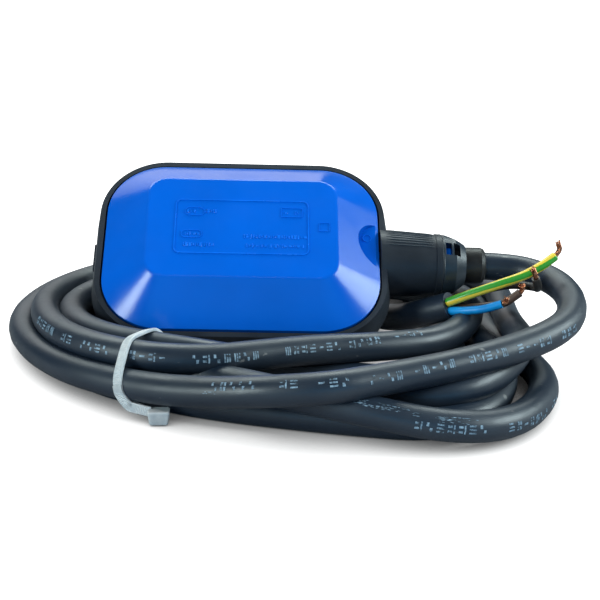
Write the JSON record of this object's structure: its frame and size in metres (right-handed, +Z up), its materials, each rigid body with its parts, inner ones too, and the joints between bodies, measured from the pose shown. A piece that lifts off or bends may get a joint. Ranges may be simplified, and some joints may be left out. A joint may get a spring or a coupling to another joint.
{
  "type": "cable float switch",
  "caption": "Tethered float level switch with bevelled cover, conical cable gland, ball-and-lever microswitch inside and a coiled, tied rubber cable.",
  "frame": {"origin": "bottom centre of the float with its gland, at the surface it lies on, without the cord", "axes": "+X along the cable gland, away from the float; +Z up; +Y away from the blue cover's side"},
  "size_m": [0.203, 0.197, 0.0612],
  "materials": {
    "black_shell": "moulded polypropylene, fine spark-eroded grain",
    "blue_cover": "moulded glossy blue polypropylene",
    "black_rubber": "soft black nitrile rubber",
    "white_nylon": "natural nylon",
    "resin": "dark potting resin",
    "zinc_steel": "zinc-plated steel",
    "bright_steel": "polished bearing steel",
    "switch_black": "phenolic switch case",
    "switch_red": "red moulded plastic",
    "brass_contact": "tinned brass strip",
    "core_black_pvc": "black core insulation",
    "core_blue_pvc": "light blue core insulation",
    "core_brown_pvc": "brown core insulation",
    "core_earth_pvc": "yellow core insulation with a green stripe",
    "cable_rubber": "black chloroprene cable sheath, talc-dusted satin",
    "copper": "bare annealed copper strands",
    "tie_nylon": "translucent natural nylon"
  },
  "bodies": {
    "root": {"body_shell": "black_shell", "cable": "cable_rubber", "cable_coil": "cable_rubber", "cable_end": "cable_rubber", "cable_entry": "cable_rubber", "cable_tie": "tie_nylon", "clamp_ring": "blue_cover", "copper_black": "copper", "copper_blue": "copper", "copper_brown": "copper", "copper_earth": "copper", "core_black": "core_black_pvc", "core_blue": "core_blue_pvc", "core_brown": "core_brown_pvc", "core_earth": "core_earth_pvc", "cover_seal": "black_rubber", "earth_cap": "white_nylon", "front_cover": "blue_cover", "gland_nose": "black_shell", "lever_pin": "bright_steel", "lid_screws": "zinc_steel", "microswitch_case": "switch_black", "microswitch_lid": "switch_red", "potting_seal": "resin", "seal_bush": "black_rubber", "switch_tray": "white_nylon", "terminal_closed": "brass_contact", "terminal_common": "brass_contact", "terminal_open": "brass_contact", "thrust_washer": "white_nylon", "tray_lid": "white_nylon", "wire_black": "core_black_pvc", "wire_blue": "core_blue_pvc", "wire_brown": "core_brown_pvc", "wire_earth": "core_earth_pvc"},
    "ball": {"steel_ball": "bright_steel"},
    "lever": {"switch_lever": "zinc_steel"},
    "plunger": {"plunger": "switch_red"},
    "blade": {"contact_blade": "brass_contact"}
  },
  "joints": [
    {"name": "ball_roll", "type": "slide", "parent": "root", "child": "ball", "axis": [-1, 0, 0], "range_m": [0, 0.036]},
    {"name": "lever_tilt", "type": "hinge", "parent": "root", "child": "lever", "pos_m": [-0.03115, 0.00543, 0.02225], "axis": [0, -0.6428, 0.766], "range_deg": [-5, 0]},
    {"name": "plunger_press", "type": "slide", "parent": "root", "child": "plunger", "axis": [0, -0.766, -0.6428], "range_m": [0, 0.0008]},
    {"name": "blade_snap", "type": "hinge", "parent": "root", "child": "blade", "pos_m": [0.00845, 0.01325, 0.0288], "axis": [0, -0.6428, 0.766], "range_deg": [0, 1.6]}
  ],
  "couplings": [
    {"joint": "lever_tilt", "follows": "ball_roll", "rad_per_m": -2.4216},
    {"joint": "plunger_press", "follows": "ball_roll", "ratio": 0.0222},
    {"joint": "blade_snap", "follows": "ball_roll", "rad_per_m": 0.7749}
  ]
}
